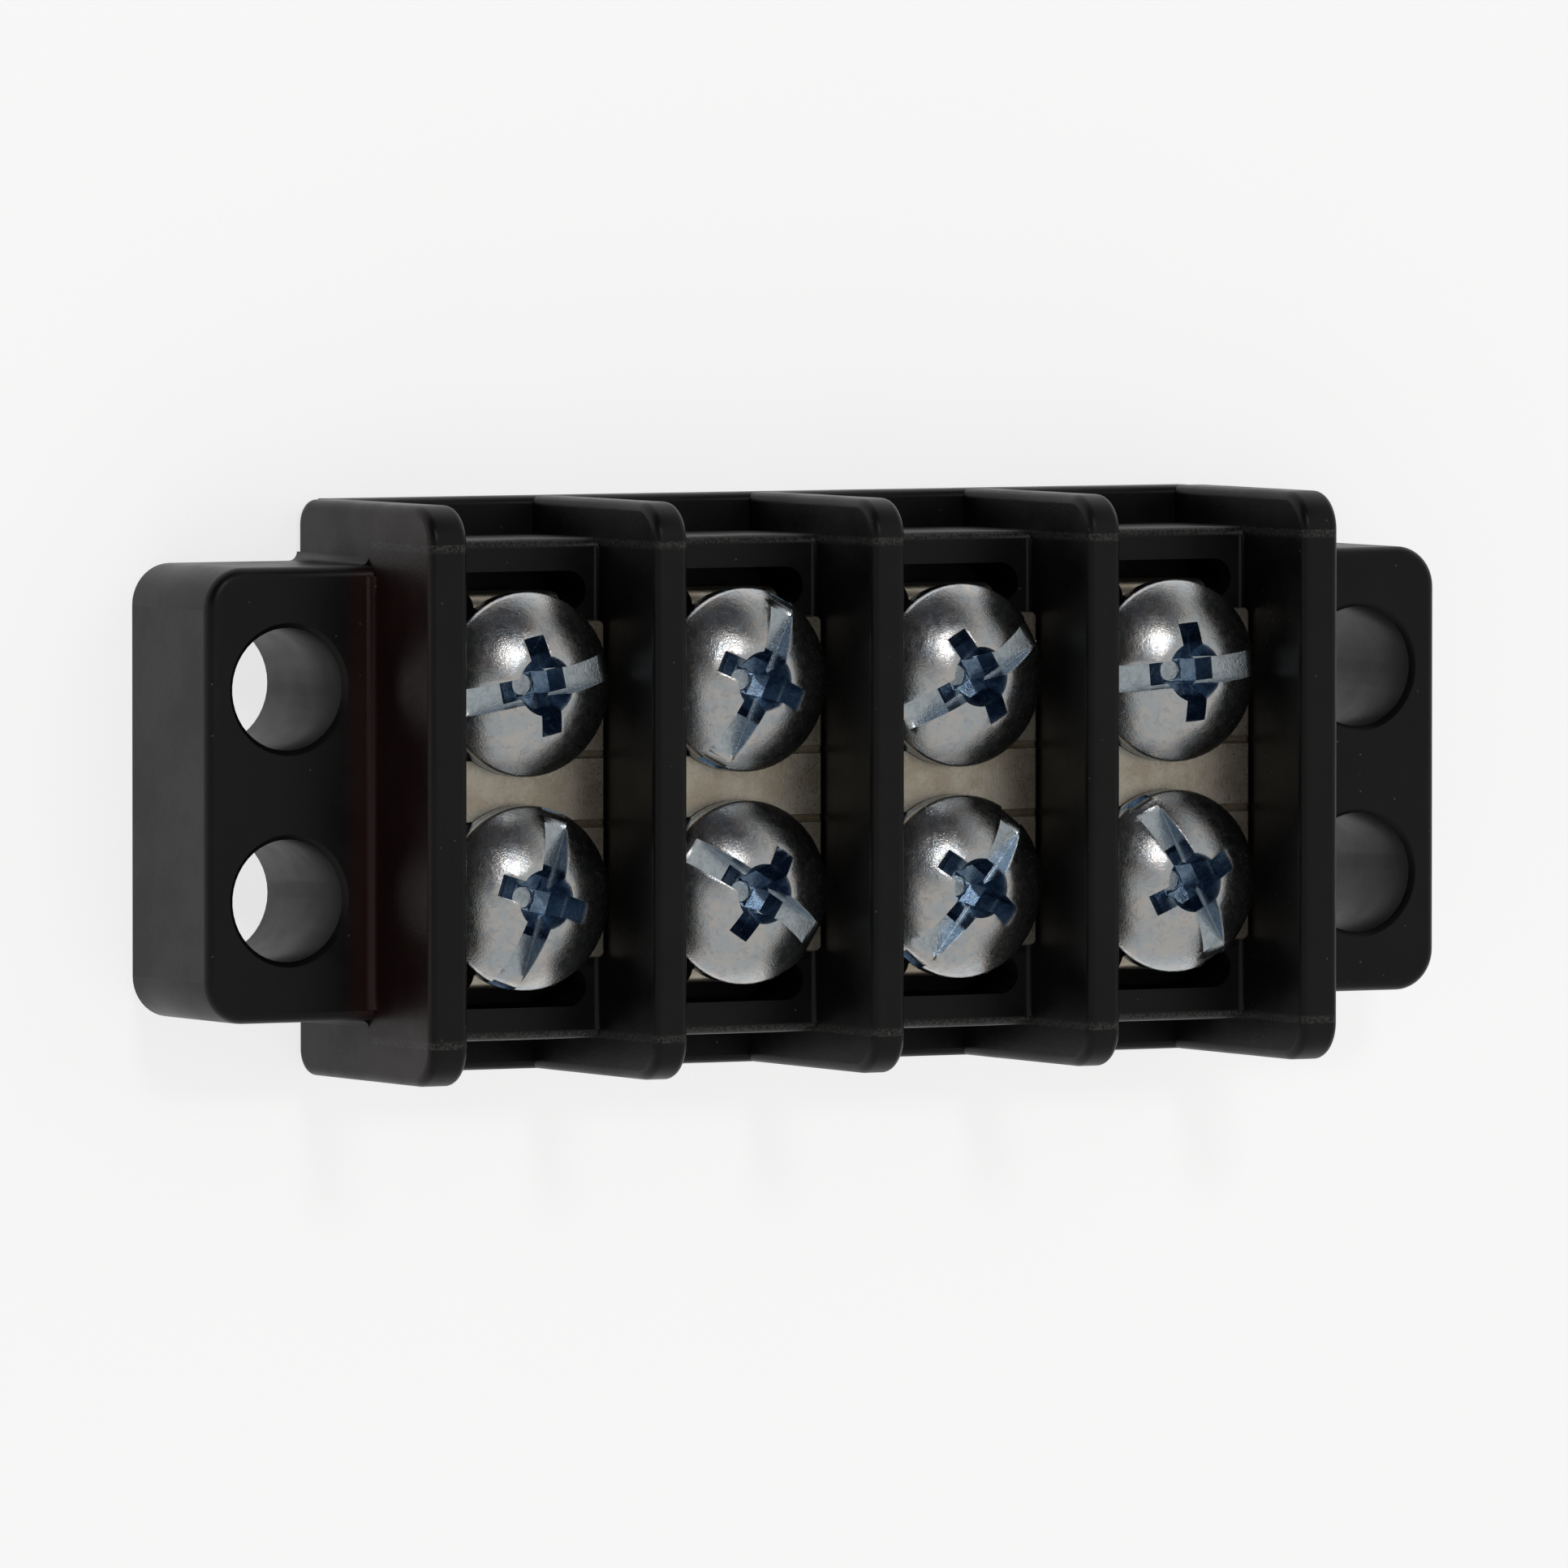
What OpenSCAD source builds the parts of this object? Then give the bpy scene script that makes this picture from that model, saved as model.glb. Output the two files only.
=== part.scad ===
// Double-row barrier terminal strip with two-hole mounting ears.
// X runs along the strip, Y across it, Z out of the mounting face; millimetres.

/* [Strip] */
// Number of circuits
circuits = 4; // [2:1:8]
// Distance from one circuit to the next
pitch = 9.525; // [9.525:0.005:9.7]
// Width of the strip across its two rows
strip_width = 22.22; // [22:0.01:23]
// Distance between the two rows of screws
row_gap = 8.2; // [8.1:0.05:8.5]

/* [Housing] */
// Height of the barriers above the mounting face
barrier_height = 11.2; // [10.8:0.1:12.5]
// Thickness of a barrier between two circuits
barrier_t = 1.45; // [1.3:0.05:1.5]
// Thickness of the barrier at each end
end_barrier_t = 1.65; // [1.6:0.05:2]
// Height of the platforms that carry the terminal plates
platform_height = 6.45; // [6.2:0.05:6.6]
// Length of a platform across the strip
platform_length = 19.3; // [19:0.1:20]
// Thickness of the base between the barriers
base_t = 1.05; // [0.9:0.05:1.4]

/* [Mounting ears] */
// Length of an ear beyond the barrier beside it
ear_length = 7.12; // [6.8:0.02:8]
// Width of an ear
ear_width = 17.46; // [17:0.02:18]
// Thickness of an ear
ear_t = 6.45; // [6:0.05:6.6]
// Diameter of a mounting hole
ear_hole_d = 4.7; // [4:0.1:5]
// Distance between the two holes of one ear
ear_hole_gap = 8.1; // [7.8:0.1:8.4]
// Distance from an ear's outer end to its holes
ear_hole_edge = 3.48; // [3.4:0.02:3.8]

/* [Terminal plates] */
// Thickness of the plate
plate_t = 0.7; // [0.6:0.05:0.8]
// Width of the flat middle of a plate
plate_width = 7.5; // [7.3:0.05:7.5]
// Length of the flat middle of a plate
plate_length = 13; // [12.8:0.1:13.1]
// Length over the two bent tabs
plate_over_tabs = 15.24; // [15.1:0.02:15.4]
// Width of a bent tab
tab_width = 3.8; // [3.4:0.1:4.2]
// Depth that a tab reaches below the platform's face
tab_depth = 3; // [2:0.1:3.4]
// Sideways play that each plate has taken up in its circuit
plate_shift = 0.2; // [0:0.05:0.2]

/* [Screws] */
// Diameter of a screw's head
head_d = 7.13; // [6.8:0.01:7.2]
// Height of a head, from its bearing face to the top of its dome
head_height = 2.35; // [2.25:0.05:2.5]
// Gap left between a head and its plate
head_gap = 0.1; // [0.05:0.05:0.2]
// Diameter of the shank, without its thread
shank_d = 3; // [2.9:0.05:3.1]
// Length of the screw under its head
shank_length = 5.56; // [5:0.02:5.7]
// Width of the driver slot
slot_width = 1.05; // [0.9:0.05:1.2]
// Turn of each upper screw's slot from the X axis, in degrees
upper_turns = [12, 65, 30, 5];
// Turn of each lower screw's slot from the X axis, in degrees
lower_turns = [72, 147, 52, 118];

/* [Hidden] */
$fn = 64;

PLASTIC = [0.09, 0.09, 0.095];
NICKEL = [0.72, 0.69, 0.62];
ZINC = [0.70, 0.73, 0.76];
EPS = 0.02;

// housing
barriers_span = circuits * pitch;
strip_end = barriers_span / 2 - barrier_t / 2 + end_barrier_t;
strip_length = 2 * (strip_end + ear_length);
barrier_front_r = 1.5;
barrier_back_r = 1;
barrier_edge_r = 0.36;
platform_edge_r = 0.35;
base_edge_r = 0.3;
ear_corner_r = 1.6;
ear_edge_r = 0.42;
ear_hole_lip = 0.2;
joint_fillet_r = 0.35;
cell_fillet_r = 0.2;

// pocket in the platform for a plate's tab
pocket_half = 3.5;
pocket_inner = 6.86;
pocket_outer = 8.4;
pocket_floor = platform_height - tab_depth - 0.4;
screw_well_d = 4.2;
screw_well_floor = 1;

// terminal plate
plate_top = platform_height + plate_t;
plate_corner_r = 0.25;
bend_inner_r = 0.2;
tapped_hole_d = 3.54;
coin_line_y = 1.33;
coin_line_depth = 0.16;
coin_side = coin_line_depth * sqrt(2);

// screw head: a dome of one radius, rolled into a short upright rim
head_r = head_d / 2;
rim_roll_r = 0.38;
dome_r = 4.62;
dome_centre = head_height - dome_r;
roll_x = head_r - rim_roll_r;
roll_z = dome_centre + sqrt(pow(dome_r - rim_roll_r, 2) - pow(roll_x, 2));
dome_edge = roll_x * dome_r / (dome_r - rim_roll_r);
slot_floor = 1.08;
slot_roll_r = 0.5;
slot_half = head_r - 0.12;
wing_width = 0.86;
wing_top_half = 2.2;
wing_foot_half = 1;
wing_foot = 0.45;
recess_foot = 0.1;
cone_top_r = 1.22;
cone_foot_r = 0.4;
shank_point = 0.45;

// centre of circuit number i, counted from 1
function circuit_x(i) = (i - (circuits + 1) / 2) * pitch;

// slot turn of the screw in circuit number i; the list starts again on a longer strip
function turn_of(turns, i) = turns[(i - 1) % len(turns)];

// Rounded flat outline of a cut edge: t thick, reaching out to d,
// with roundings r_low and r_high along its outer rim.
module rim_section(t, d, r_low, r_high) {
    difference() {
        square([d, t]);
        for (side = [[r_low, 0], [r_high, 1]])
            translate([d, side[1] * t])
                mirror([0, side[1]])
                    difference() {
                        translate([-side[0], -1]) square([side[0] + 1, side[0] + 1]);
                        translate([-side[0], side[0]]) circle(r = side[0]);
                    }
    }
}

// Slab of size [x, y] and thickness t, standing on Z = 0 and centred in X and Y.
// Its corner radius is near_r at -Y and far_r at +Y. The rims of the side
// faces are rounded by r_low at the bottom and r_high at the top.
module rounded_slab(size, t, near_r, far_r, r_low, r_high) {
    hx = size[0] / 2;
    hy = size[1] / 2;
    for (end = [[-1, near_r], [1, far_r]]) {
        r = end[1];
        // corners
        for (side = [-1, 1])
            translate([side * (hx - r), end[0] * (hy - r), 0])
                mirror([(1 - side) / 2, 0, 0])
                    mirror([0, (1 - end[0]) / 2, 0])
                        rotate_extrude(angle = 90) rim_section(t, r, r_low, r_high);
        // straight edge along X
        translate([-(hx - r), end[0] * (hy - r), 0])
            mirror([0, (1 - end[0]) / 2, 0])
                rotate([90, 0, 90])
                    linear_extrude(2 * (hx - r)) rim_section(t, r, r_low, r_high);
    }
    // straight edges along Y, and the middle
    deep = max(near_r, far_r);
    for (side = [-1, 1])
        translate([side * (hx - deep), hy - far_r, 0])
            mirror([(1 - side) / 2, 0, 0])
                rotate([90, 0, 0])
                    linear_extrude(size[1] - near_r - far_r) rim_section(t, deep, r_low, r_high);
    translate([-(hx - deep), -(hy - near_r), 0])
        cube([2 * (hx - deep), size[1] - near_r - far_r, t]);
}

// Concave fillet of radius r between the floor Z = 0 and a wall X = 0, along Y
module fillet(r, length) {
    rotate([90, 0, 0])
        linear_extrude(length, center = true)
            difference() {
                translate([-EPS, -EPS]) square([r + EPS, r + EPS]);
                translate([r, r]) circle(r = r);
            }
}

// One barrier, from its inner face at X = 0 outwards
module barrier(t) {
    rotate([90, 0, 90])
        translate([0, barrier_height / 2, 0])
            rounded_slab([strip_width, barrier_height], t, barrier_back_r, barrier_front_r,
                barrier_edge_r, barrier_edge_r);
}

module barriers() {
    for (i = [1 : circuits - 1])
        translate([circuit_x(i) + pitch / 2 - barrier_t / 2, 0, 0]) barrier(barrier_t);
    // root fillets along the platforms
    for (i = [1 : circuits], side = [0, 1])
        translate([circuit_x(i), 0, platform_height])
            mirror([side, 0, 0])
                translate([(barrier_t - pitch) / 2, 0, 0])
                    fillet(cell_fillet_r, platform_length - 2 * platform_edge_r);
    for (side = [0, 1])
        mirror([side, 0, 0])
            translate([barriers_span / 2 - barrier_t / 2, 0, 0]) barrier(end_barrier_t);
}

// Section across the strip, with rounded upper edges
module ridge_section(length, height, r) {
    translate([-length / 2, 0]) square([length, height - r]);
    translate([-length / 2 + r, 0]) square([length - 2 * r, height]);
    for (side = [-1, 1])
        translate([side * (length / 2 - r), height - r]) circle(r = r);
}

module ridge(length, height, r) {
    rotate([90, 0, 90])
        linear_extrude(barriers_span, center = true) ridge_section(length, height, r);
}

// Pocket for one tab, at the +Y end of a circuit
module tab_pocket() {
    end_r = (pocket_outer - pocket_inner) / 2;
    translate([0, (pocket_outer + pocket_inner) / 2, pocket_floor])
        linear_extrude(platform_height) {
            square([2 * (pocket_half - end_r), 2 * end_r], center = true);
            for (side = [-1, 1])
                translate([side * (pocket_half - end_r), 0]) circle(r = end_r);
        }
}

module cell_cuts() {
    for (side = [0, 1])
        mirror([0, side, 0]) {
            tab_pocket();
            translate([plate_shift, row_gap / 2, screw_well_floor])
                cylinder(d = screw_well_d, h = platform_height);
        }
}

// Mounting ear at the +X end
module ear() {
    bury = end_barrier_t / 2;
    length = ear_length + bury;
    translate([strip_end + ear_length - length / 2, 0, 0])
        rotate([0, 0, -90])
            rounded_slab([ear_width, length], ear_t, ear_edge_r, ear_corner_r, EPS, ear_edge_r);
    translate([strip_end, 0, ear_t]) fillet(joint_fillet_r, ear_width - 2 * ear_edge_r);
    for (side = [0, 1])
        mirror([0, side, 0])
            translate([strip_end, ear_width / 2, (ear_t - ear_edge_r) / 2])
                rotate([-90, 0, 0]) fillet(joint_fillet_r, ear_t - ear_edge_r);
}

module ear_hole() {
    translate([0, 0, -1]) cylinder(d = ear_hole_d, h = ear_t + 2);
    translate([0, 0, ear_t - ear_hole_lip])
        cylinder(r1 = ear_hole_d / 2, r2 = ear_hole_d / 2 + 1, h = 1);
}

// One-piece moulded housing
module housing() {
    color(PLASTIC)
        difference() {
            union() {
                ridge(strip_width, base_t, base_edge_r);
                ridge(platform_length, platform_height, platform_edge_r);
                barriers();
                for (side = [0, 1]) mirror([side, 0, 0]) ear();
            }
            for (i = [1 : circuits]) translate([circuit_x(i), 0, 0]) cell_cuts();
            for (side = [-1, 1], row = [-1, 1])
                translate([side * (strip_length / 2 - ear_hole_edge), row * ear_hole_gap / 2, 0])
                    ear_hole();
        }
}

// Bent section of one tab, from the flat middle out and down into its pocket
module tab_section() {
    outer_r = bend_inner_r + plate_t;
    bend_y = plate_over_tabs / 2 - outer_r;
    start = plate_length / 2 - 1;
    translate([start, -plate_t]) square([bend_y - start, plate_t]);
    translate([bend_y, -outer_r])
        difference() {
            intersection() {
                circle(r = outer_r);
                square(outer_r);
            }
            circle(r = bend_inner_r);
        }
    translate([bend_y + bend_inner_r, -plate_t - tab_depth])
        square([plate_t, tab_depth + plate_t - outer_r]);
}

module terminal_plate(i) {
    color(NICKEL)
        translate([circuit_x(i) + plate_shift, 0, plate_top])
            difference() {
                union() {
                    translate([0, 0, -plate_t])
                        rounded_slab([plate_width, plate_length], plate_t,
                            plate_corner_r, plate_corner_r, EPS, 0.08);
                    for (side = [0, 1])
                        mirror([0, side, 0])
                            rotate([90, 0, 90])
                                linear_extrude(tab_width, center = true) tab_section();
                }
                for (row = [-1, 1])
                    translate([0, row * row_gap / 2, -plate_t - 1])
                        cylinder(d = tapped_hole_d, h = plate_t + 2);
                for (row = [-1, 1])
                    translate([0, row * coin_line_y, 0])
                        rotate([45, 0, 0])
                            cube([plate_width + 1, coin_side, coin_side], center = true);
            }
}

// Half section of the head, bearing face on Y = 0
module head_section() {
    intersection() {
        translate([0, dome_centre]) circle(r = dome_r, $fn = 160);
        square([dome_edge, head_height]);
    }
    square([head_r, roll_z]);
    translate([roll_x, roll_z]) circle(r = rim_roll_r);
}

// What the driver slot takes away: its floor rolls down at both ends
module slot_cut() {
    difference() {
        translate([-head_r - 1, -slot_width / 2, roll_z / 2])
            cube([head_d + 2, slot_width, head_height]);
        rotate([90, 0, 0])
            linear_extrude(slot_width + 1, center = true) {
                square([2 * slot_half, 2 * (slot_floor - slot_roll_r)], center = true);
                square([2 * (slot_half - slot_roll_r), 2 * slot_floor], center = true);
                for (side = [-1, 1])
                    translate([side * (slot_half - slot_roll_r), slot_floor - slot_roll_r])
                        circle(r = slot_roll_r);
            }
    }
}

// Cross recess: two tapered wings and the cone between them
module cross_cut() {
    for (turn = [0, 90])
        rotate([90, 0, turn])
            linear_extrude(wing_width, center = true)
                polygon([
                    [-wing_top_half, head_height], [-wing_foot_half, wing_foot], [0, recess_foot],
                    [wing_foot_half, wing_foot], [wing_top_half, head_height],
                ]);
    translate([0, 0, recess_foot])
        cylinder(r1 = cone_foot_r, r2 = cone_top_r, h = head_height - recess_foot);
}

// One terminal screw, its slot turned by the given angle
module screw(i, row, turn) {
    color(ZINC)
        translate([circuit_x(i) + plate_shift, row * row_gap / 2, plate_top + head_gap])
            rotate([0, 0, turn]) {
                difference() {
                    rotate_extrude() head_section();
                    slot_cut();
                    cross_cut();
                }
                translate([0, 0, -shank_length + shank_point])
                    cylinder(d = shank_d, h = shank_length - shank_point + EPS);
                translate([0, 0, -shank_length])
                    cylinder(d1 = shank_d - 2 * shank_point, d2 = shank_d, h = shank_point);
            }
}

housing();
for (i = [1 : circuits]) {
    terminal_plate(i);
    screw(i, 1, turn_of(upper_turns, i));
    screw(i, -1, turn_of(lower_turns, i));
}
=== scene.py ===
import math

import bpy
from mathutils import Matrix, Vector


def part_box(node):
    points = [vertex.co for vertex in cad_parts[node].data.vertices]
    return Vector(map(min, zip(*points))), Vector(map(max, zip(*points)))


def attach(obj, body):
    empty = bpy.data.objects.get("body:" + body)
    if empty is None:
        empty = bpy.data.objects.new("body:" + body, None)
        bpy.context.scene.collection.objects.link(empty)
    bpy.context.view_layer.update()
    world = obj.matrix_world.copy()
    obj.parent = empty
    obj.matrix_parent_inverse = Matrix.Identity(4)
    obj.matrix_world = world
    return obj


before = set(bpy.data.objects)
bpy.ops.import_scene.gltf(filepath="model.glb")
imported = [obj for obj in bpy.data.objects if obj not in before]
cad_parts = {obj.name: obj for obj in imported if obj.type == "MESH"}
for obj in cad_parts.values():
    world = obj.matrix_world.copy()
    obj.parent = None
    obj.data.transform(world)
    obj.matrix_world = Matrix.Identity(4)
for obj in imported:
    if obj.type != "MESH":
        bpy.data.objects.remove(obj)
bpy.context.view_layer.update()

MM = 0.001

# Sizes of the CAD part that its finishes follow, in millimetres
EAR_LENGTH = 7.12
EAR_FACE = 6.45         # height of the ears' and platforms' upper faces
PLATFORM_END = 9.65     # half the length of a platform across the strip
DOME_R = 4.62
SHANK_LENGTH = 5.56
SHANK_POINT = 0.45      # length of the chamfer at a screw's tip
HEAD_HEIGHT = 2.35
SLOT_FLOOR = 1.08       # above the head's underside
RECESS_FOOT = 0.12      # above the head's underside

# Thread of a screw, in millimetres
THREAD_PITCH = 0.794
THREAD_ROOT = (1.45, 0.36)      # radius and half-width of the thread's root
THREAD_CREST = (1.74, 0.06)     # radius and half-width of its crest
THREAD_STEPS = 48               # points to a turn

# Rounding given to the sharp edges, in millimetres
PLASTIC_EDGE = 0.05
METAL_EDGE = 0.04

# ---------------------------------------------------------------- camera

VIEW_YAW = math.radians(28.5)       # the camera stands to the left of the strip
VIEW_PITCH = math.radians(2.56)     # and a little above its middle
VIEW_DISTANCE = 838.8 * MM
VIEW_LENS = 493.6
VIEW_OFFSET = (1.228 * MM, -0.323 * MM)     # aim, right and up of the strip's centre


def make_camera():
    """Long lens on the middle of the strip, from its left."""
    toward = Vector((
        -math.sin(VIEW_YAW) * math.cos(VIEW_PITCH),
        math.sin(VIEW_PITCH),
        math.cos(VIEW_YAW) * math.cos(VIEW_PITCH),
    ))
    right = Vector((math.cos(VIEW_YAW), 0, math.sin(VIEW_YAW)))
    up = toward.cross(right)
    data = bpy.data.cameras.new("camera")
    data.lens = VIEW_LENS
    data.sensor_width = 36
    data.clip_start = 0.01
    data.clip_end = 50
    camera = bpy.data.objects.new("camera", data)
    bpy.context.collection.objects.link(camera)
    turn = Matrix((right, up, toward)).transposed().to_4x4()
    aim = right * VIEW_OFFSET[0] + up * VIEW_OFFSET[1]
    camera.matrix_world = Matrix.Translation(aim + toward * VIEW_DISTANCE) @ turn
    bpy.context.scene.camera = camera


# ---------------------------------------------------------------- node trees

class Tree:
    """Builds a node tree: each call adds one node and returns its first output."""

    def __init__(self, owner):
        owner.use_nodes = True
        self.nodes = owner.node_tree.nodes
        self.links = owner.node_tree.links
        self.nodes.clear()

    def put(self, node, name, value):
        socket = node.inputs[name]
        if isinstance(value, bpy.types.NodeSocket):
            self.links.new(value, socket)
        else:
            socket.default_value = value

    def add(self, kind, inputs=None, output=0, **settings):
        node = self.nodes.new(kind)
        for key, value in settings.items():
            setattr(node, key, value)
        for name, value in (inputs or {}).items():
            self.put(node, name, value)
        return node.outputs[output] if node.outputs else node

    def math(self, operation, a, b=0.0):
        return self.add("ShaderNodeMath", {0: a, 1: b}, operation=operation)

    def product(self, first, *others):
        for other in others:
            first = self.math("MULTIPLY", first, other)
        return first

    def vector(self, operation, a, b=(0, 0, 0), output=0):
        return self.add("ShaderNodeVectorMath", {0: a, 1: b}, output=output, operation=operation)

    def span(self, value, low, high, to_low=0.0, to_high=1.0, smooth=True):
        """Maps value from low..high to to_low..to_high and holds it there outside."""
        kind = "SMOOTHSTEP" if smooth else "LINEAR"
        return self.add("ShaderNodeMapRange", {
            "Value": value, "From Min": low, "From Max": high, "To Min": to_low, "To Max": to_high,
        }, interpolation_type=kind)

    def mix(self, factor, a, b):
        """Colour a where factor is 0, colour b where it is 1."""
        return self.add("ShaderNodeMix", {0: factor, 6: a, 7: b}, output=2, data_type="RGBA")

    def noise(self, coords, scale, detail=2.0, roughness=0.5, distortion=0.0):
        return self.add("ShaderNodeTexNoise", {
            "Vector": coords, "Scale": scale, "Detail": detail,
            "Roughness": roughness, "Distortion": distortion,
        })

    def axes(self, vector):
        """The three parts of a vector."""
        node = self.nodes.new("ShaderNodeSeparateXYZ")
        self.put(node, 0, vector)
        return node.outputs

    def bump(self, height, strength, distance, normal=None):
        inputs = {"Height": height, "Strength": strength, "Distance": distance}
        if normal is not None:
            inputs["Normal"] = normal
        return self.add("ShaderNodeBump", inputs)


def millimetres(tree):
    """The object's own coordinates in millimetres."""
    coords = tree.add("ShaderNodeTexCoord", output=3)
    return tree.vector("MULTIPLY", coords, (1000, 1000, 1000))


def shades(name):
    """A new material and the tree to build it in."""
    material = bpy.data.materials.new(name)
    return material, Tree(material)


def surface(tree, inputs):
    """Ends a material with one Principled shader."""
    shader = tree.add("ShaderNodeBsdfPrincipled", inputs)
    tree.add("ShaderNodeOutputMaterial", {"Surface": shader})


# ---------------------------------------------------------------- materials

def rgb(r, g, b):
    return (r, g, b, 1)


def plastic():
    """Black moulded plastic: satin, finely grained, dusty, with a painted highlight and some lint
    along the platforms' upper edges.
    """
    material, tree = shades("black_moulding")
    mm = millimetres(tree)
    x, y, z = tree.axes(mm)
    cloud = tree.noise(mm, 0.35, 3, 0.6)
    grain = tree.noise(mm, 9, 3, 0.6)
    dust = tree.product(specks(tree, mm, 1.9, 0.05), 0.5)
    clouded = tree.span(cloud, 0.35, 0.7)
    tone = tree.mix(clouded, rgb(0.0035, 0.0035, 0.0037), rgb(0.006, 0.0059, 0.0059))
    tone = tree.mix(brown_band(tree, x, z, grain), tone, rgb(0.022, 0.0065, 0.006))
    # painted highlight, with some lint, along the platforms' upper edges
    tone = tree.mix(edge_highlight_and_lint(tree, y, z, grain), tone, rgb(0.055, 0.054, 0.052))
    tone = tree.mix(dust, tone, rgb(0.13, 0.13, 0.125))
    rough = tree.span(cloud, 0.3, 0.7, 0.34, 0.44)
    waves = tree.bump(cloud, 0.3, 0.05 * MM)
    normal = tree.bump(grain, 0.5, 0.012 * MM, waves)
    surface(tree, {
        "Base Color": tone, "Roughness": rough, "Normal": normal, "Specular IOR Level": 0.22,
    })
    return material


def brown_band(tree, x, z, grain):
    """Reddish-brown band on the left ear's front next to the end barrier, running up the end
    barrier beside it.
    """
    low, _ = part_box("housing")
    root = low.x / MM + EAR_LENGTH
    fade_in = tree.span(x, root - 1.5, root - 0.5)
    fade_out = tree.span(x, root - 0.1, root + 0.15, 1, 0)
    front = tree.span(z, EAR_FACE - 0.2, EAR_FACE - 0.05)
    return tree.product(fade_in, fade_out, front, tree.span(grain, 0.2, 0.7, 0.55, 1))


def edge_highlight_and_lint(tree, y, z, grain):
    """Painted highlight along the upper edges of the platforms, made uneven like lint."""
    out = tree.math("ABSOLUTE", y)
    inner = tree.span(out, PLATFORM_END - 0.4, PLATFORM_END - 0.2)
    outer = tree.span(out, PLATFORM_END - 0.05, PLATFORM_END + 0.01, 1, 0)
    top = tree.span(z, EAR_FACE - 0.35, EAR_FACE - 0.1)
    return tree.product(inner, outer, top, tree.span(grain, 0.4, 0.62, 0.1, 0.9))


def specks(tree, mm, scale, size):
    """Scattered round specks up to size mm in radius, one at most in each cell of 1/scale mm."""
    cell = {"Vector": mm, "Scale": scale}
    near = tree.add("ShaderNodeTexVoronoi", cell, output=0)
    pick = tree.add("ShaderNodeTexVoronoi", cell, output=1)
    chosen = tree.span(tree.axes(pick)[0], 0.55, 0.9, 0, 1, smooth=False)
    reach = tree.math("MULTIPLY", chosen, size * scale)
    return tree.span(tree.math("SUBTRACT", near, reach), -0.03, 0, 1, 0)


def nickel():
    """Dull nickel plating over rolled brass: warm, finely speckled, lightly marked."""
    material, tree = shades("nickel_plating")
    mm = millimetres(tree)
    speckle = tree.noise(mm, 11, 4, 0.75)
    rolled = tree.noise(tree.vector("MULTIPLY", mm, (9, 0.8, 3)), 1.0, 3, 0.6)
    stain = tree.noise(mm, 0.8, 4, 0.6)
    tone = tree.mix(tree.span(stain, 0.35, 0.65), rgb(0.40, 0.345, 0.27), rgb(0.50, 0.455, 0.38))
    tone = tree.mix(tree.span(speckle, 0.5, 0.75, 0, 0.45), tone, rgb(0.25, 0.215, 0.17))
    dots = tree.product(specks(tree, mm, 1.3, 0.07), 0.7)
    tone = tree.mix(dots, tone, rgb(0.10, 0.085, 0.07))
    rough = tree.span(speckle, 0.3, 0.7, 0.26, 0.4)
    normal = tree.bump(rolled, 0.4, 0.006 * MM, tree.bump(speckle, 0.6, 0.01 * MM))
    surface(tree, {
        "Base Color": tone, "Metallic": 1.0, "Roughness": rough, "Normal": normal,
    })
    return material


def zinc(seat):
    """Bright zinc plating, mottled and finely pitted, with painted shade in dark steel blue inside
    the driver recess.

    What lies deeper than the sphere of the dome is painted dark steel blue, the plating's blue tint
    darkened as painted shade: the recess, and the head's rim with it. The recess's flat floors stay
    a paler blue, without the painted shade. seat is the centre of the head's underside, in
    millimetres.
    """
    material, tree = shades("zinc_plating")
    mm = millimetres(tree)
    rel = tree.vector("SUBTRACT", mm, seat)
    height = tree.axes(rel)[2]
    from_dome_centre = tree.vector("ADD", rel, (0, 0, DOME_R - HEAD_HEIGHT))
    depth = tree.math("SUBTRACT", DOME_R, tree.vector("LENGTH", from_dome_centre, output=1))
    below_dome = tree.span(depth, 0.05, 0.14)
    inside = tree.product(below_dome, tree.span(height, -0.3, -0.2))
    off_floor = tree.math("ABSOLUTE", tree.math("SUBTRACT", height, SLOT_FLOOR))
    on_floor = tree.span(off_floor, 0.02, 0.08, 1, 0)
    on_foot = tree.span(height, RECESS_FOOT, RECESS_FOOT + 0.05, 1, 0)
    bare = tree.math("MAXIMUM", on_floor, on_foot)
    cloud = tree.noise(mm, 1.3, 4, 0.65, 0.4)
    patch = tree.noise(mm, 3.1, 3, 0.6, 0.8)
    pits = tree.noise(mm, 13, 3, 0.7)
    streaks = tree.noise(tree.vector("MULTIPLY", rel, (9, 9, 0.9)), 1.0, 2, 0.6)
    tone = tree.mix(tree.span(cloud, 0.36, 0.64), rgb(0.50, 0.535, 0.56), rgb(0.60, 0.575, 0.55))
    tone = tree.mix(tree.span(patch, 0.5, 0.72, 0, 0.6), tone, rgb(0.40, 0.40, 0.43))
    # painted shade: the plating's blue tint made dark for the recess walls and the head's rim
    shaded_blue = tree.mix(tree.span(patch, 0.4, 0.6), rgb(0.12, 0.185, 0.28), rgb(0.20, 0.285, 0.39))
    pale = tree.mix(tree.span(patch, 0.4, 0.65), rgb(0.50, 0.56, 0.60), rgb(0.42, 0.47, 0.50))
    tone = tree.mix(inside, tone, tree.mix(bare, shaded_blue, pale))
    rough = tree.span(patch, 0.3, 0.7, 0.19, 0.29)
    waves = tree.bump(cloud, 0.5, 0.03 * MM)
    drawn = tree.bump(streaks, tree.product(inside, 0.4), 0.008 * MM, waves)
    normal = tree.bump(pits, 0.8, 0.012 * MM, drawn)
    surface(tree, {
        "Base Color": tone, "Metallic": 1.0, "Roughness": rough, "Normal": normal,
    })
    return material


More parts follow.
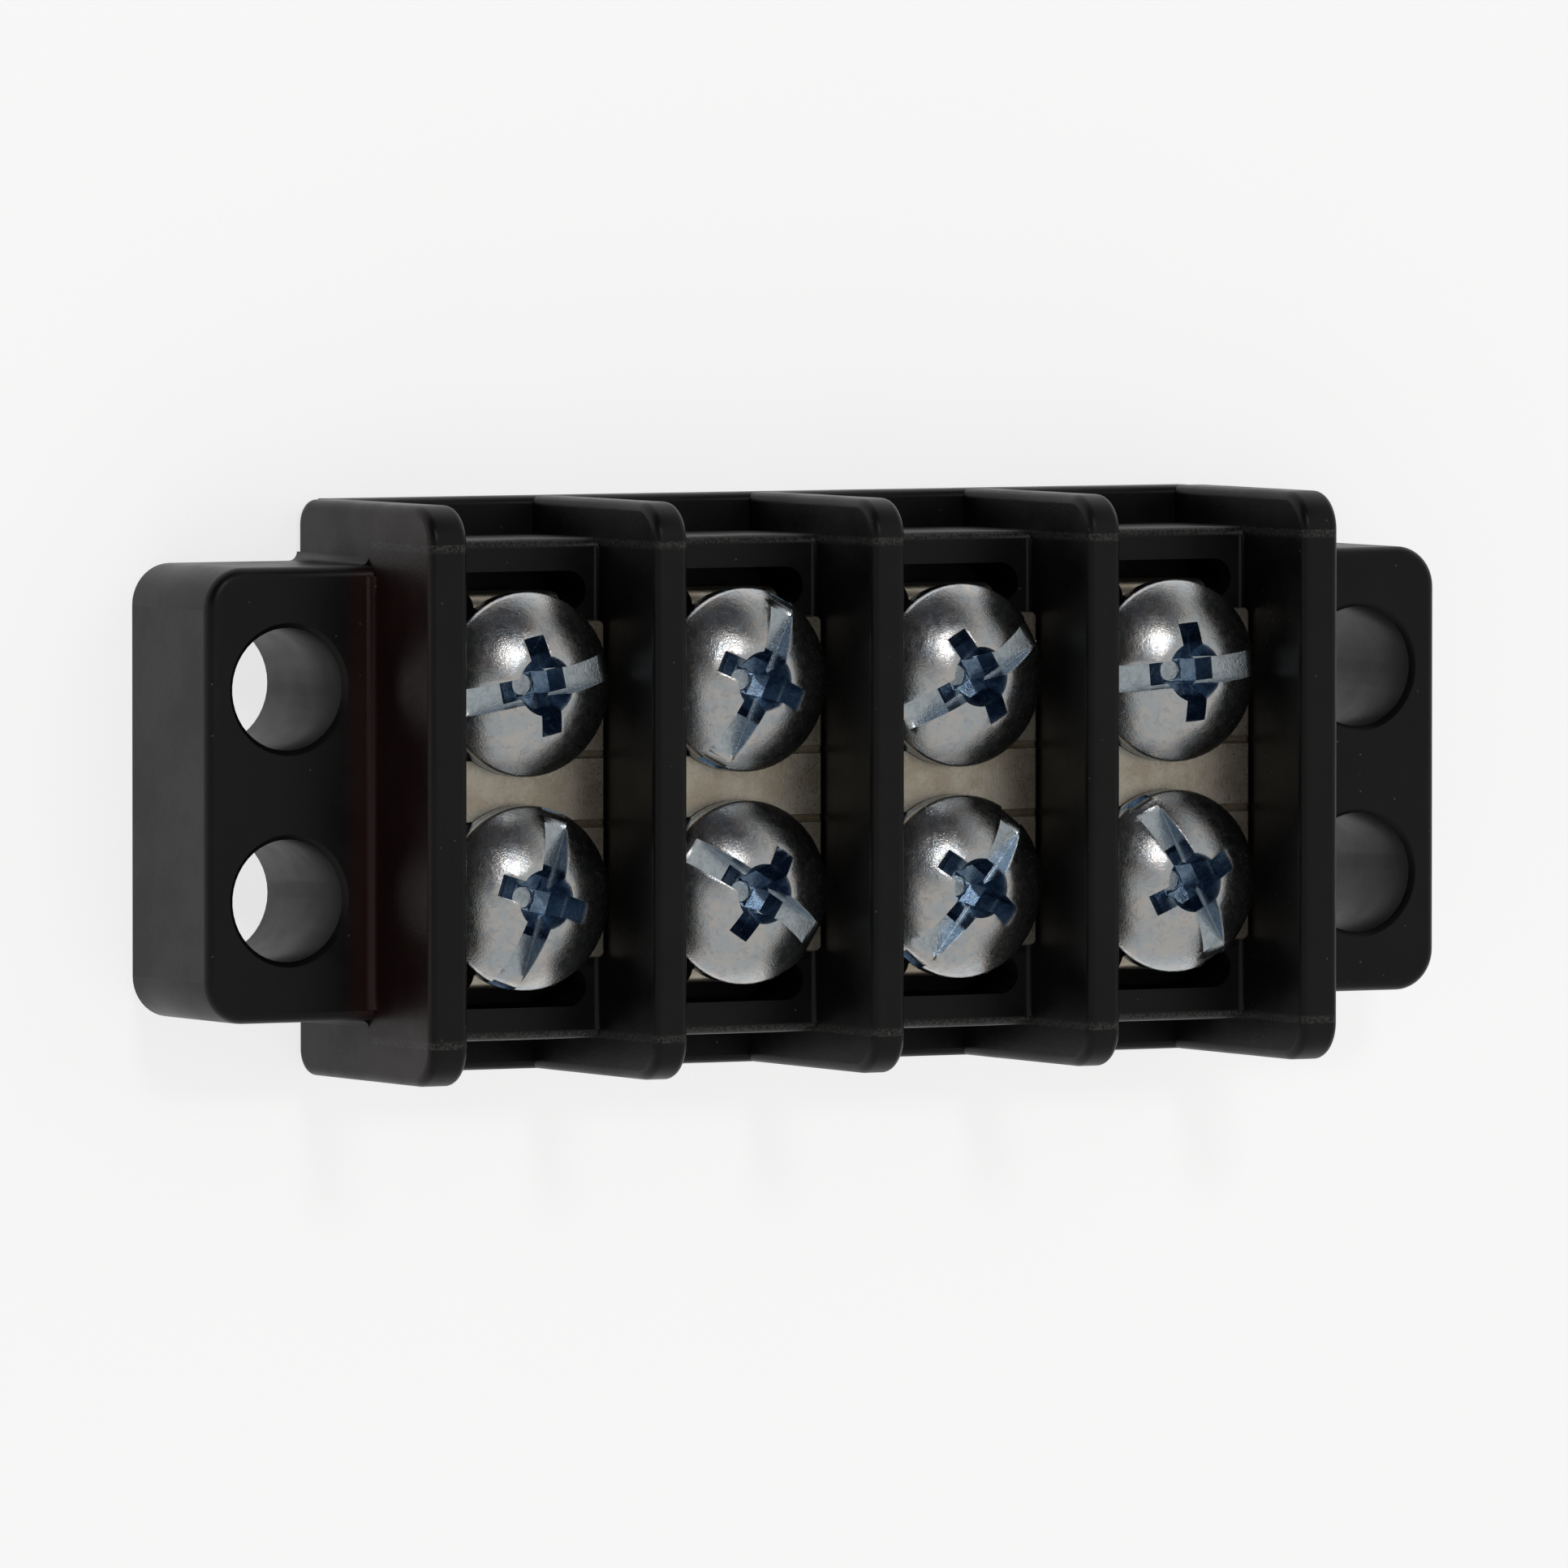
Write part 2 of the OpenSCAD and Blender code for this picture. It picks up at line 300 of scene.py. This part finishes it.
def dress(node_name, material, edge):
    """Gives a CAD node its material and rounds its sharp edges by edge mm."""
    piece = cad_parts[node_name]
    piece.data.materials.clear()
    piece.data.materials.append(material)
    weld = piece.modifiers.new("weld", "WELD")
    weld.merge_threshold = 0.0005 * MM
    bevel = piece.modifiers.new("edges", "BEVEL")
    bevel.width = edge * MM
    bevel.segments = 2
    bevel.limit_method = "ANGLE"
    bevel.angle_limit = math.radians(35)
    bevel.use_clamp_overlap = True


# ---------------------------------------------------------------- stage

def seen_directly(tree):
    """1 for rays from the camera, off a gloss or through a clear body, else 0."""
    seen = 0.0
    for ray in ("Is Camera Ray", "Is Glossy Ray", "Is Transmission Ray"):
        seen = tree.math("MAXIMUM", seen, tree.add("ShaderNodeLightPath", output=ray))
    return seen


def make_floor():
    """Pale floor: white to the eye and in reflections, with a soft shadow."""
    reach = 6.0
    drop = -0.02 * MM
    corners = [(x * reach, y * reach, drop) for x, y in ((-1, -1), (1, -1), (1, 1), (-1, 1))]
    mesh = bpy.data.meshes.new("floor")
    mesh.from_pydata(corners, [], [(0, 1, 2, 3)])
    floor = bpy.data.objects.new("floor", mesh)
    bpy.context.collection.objects.link(floor)
    material, tree = shades("floor")
    strength = tree.product(seen_directly(tree), 0.75)
    plain = tree.add("ShaderNodeBsdfDiffuse", {"Color": rgb(0.35, 0.35, 0.35)})
    glow = tree.add("ShaderNodeEmission", {"Color": rgb(1, 1, 1), "Strength": strength})
    both = tree.add("ShaderNodeAddShader", {0: plain, 1: glow})
    tree.add("ShaderNodeOutputMaterial", {"Surface": both})
    mesh.materials.append(material)


def make_world():
    """Soft studio surroundings for light and reflections, and white to the eye."""
    world = bpy.data.worlds.new("studio")
    bpy.context.scene.world = world
    tree = Tree(world)
    direction = tree.add("ShaderNodeTexCoord", output=0)
    level = studio_level(tree, direction)
    camera = tree.add("ShaderNodeLightPath", output=0)
    colour = tree.mix(camera, level, rgb(1, 1, 1))
    background = tree.add("ShaderNodeBackground", {"Color": colour, "Strength": 1.0})
    tree.add("ShaderNodeOutputWorld", {"Surface": background})


def studio_level(tree, direction):
    """Even grey, with a dark patch towards the upper left."""
    toward_dark = Vector((-0.38, 0.78, 0.5)).normalized()
    aim = tree.vector("DOT_PRODUCT", direction, toward_dark, output=1)
    dark = tree.span(aim, 0.62, 0.76)
    return tree.mix(dark, rgb(0.55, 0.55, 0.54), rgb(0.045, 0.045, 0.05))


def make_lamp(name, toward, distance, size, power):
    """Round lamp of the given diameter, aimed at the middle of the part."""
    data = bpy.data.lights.new(name, "AREA")
    data.shape = "DISK"
    data.size = size
    data.energy = power
    lamp = bpy.data.objects.new(name, data)
    bpy.context.collection.objects.link(lamp)
    toward = Vector(toward).normalized()
    lamp.location = toward * distance
    lamp.rotation_mode = "QUATERNION"
    lamp.rotation_quaternion = toward.to_track_quat("Z", "Y")


# ---------------------------------------------------------------- object

def thread_turns(seat):
    """Vertices and faces of one helical ridge along a shank, tapering out at both ends."""
    low = seat[2] - SHANK_LENGTH + SHANK_POINT
    high = seat[2] - THREAD_ROOT[1]
    steps = int((high - low) / THREAD_PITCH * THREAD_STEPS)
    verts, faces = [], []
    for i in range(steps + 1):
        angle = 2 * math.pi * i / THREAD_STEPS
        # 0 at either end of the ridge, 1 from half a turn in
        full = min(1.0, i / THREAD_STEPS * 2, (steps - i) / THREAD_STEPS * 2)
        crest_r = THREAD_ROOT[0] + (THREAD_CREST[0] - THREAD_ROOT[0]) * full
        root_half = THREAD_ROOT[1] * max(full, 0.05)
        z = low + THREAD_PITCH * i / THREAD_STEPS
        outline = (
            (THREAD_ROOT[0], -root_half),
            (crest_r, -THREAD_CREST[1]),
            (crest_r, THREAD_CREST[1]),
            (THREAD_ROOT[0], root_half),
        )
        for r, rise in outline:
            point = (seat[0] + r * math.cos(angle), seat[1] + r * math.sin(angle), z + rise)
            verts.append([value * MM for value in point])
    for i in range(steps):
        for side in range(4):
            a = 4 * i + side
            b = 4 * i + (side + 1) % 4
            faces.append((a, b, b + 4, a + 4))
    faces.append((3, 2, 1, 0))
    faces.append(tuple(4 * steps + side for side in range(4)))
    return verts, faces


def add_thread(name, seat, material):
    """Thread of the named screw, moving with it."""
    mesh = bpy.data.meshes.new(name + "_thread")
    verts, faces = thread_turns(seat)
    mesh.from_pydata(verts, [], faces)
    mesh.shade_smooth()
    mesh.set_sharp_from_angle(angle=math.radians(30))
    mesh.materials.append(material)
    thread = bpy.data.objects.new(name + "_thread", mesh)
    bpy.context.collection.objects.link(thread)
    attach(thread, name)


def screw_seat(name):
    """Centre of a head's underside, in millimetres."""
    low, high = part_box(name)
    middle = (low + high) / (2 * MM)
    return middle.x, middle.y, low.z / MM + SHANK_LENGTH


make_camera()
make_world()
make_floor()
make_lamp("key", toward=(-0.08, 0.46, 0.88), distance=0.6, size=0.1, power=0.45)

dress("housing", plastic(), PLASTIC_EDGE)
plating = nickel()
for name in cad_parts:
    if name.startswith("terminal_plate"):
        dress(name, plating, METAL_EDGE)
    if name.startswith("screw_"):
        seat = screw_seat(name)
        plated = zinc(seat)
        dress(name, plated, METAL_EDGE)
        add_thread(name, seat, plated)

scene = bpy.context.scene
scene.view_settings.view_transform = "Standard"
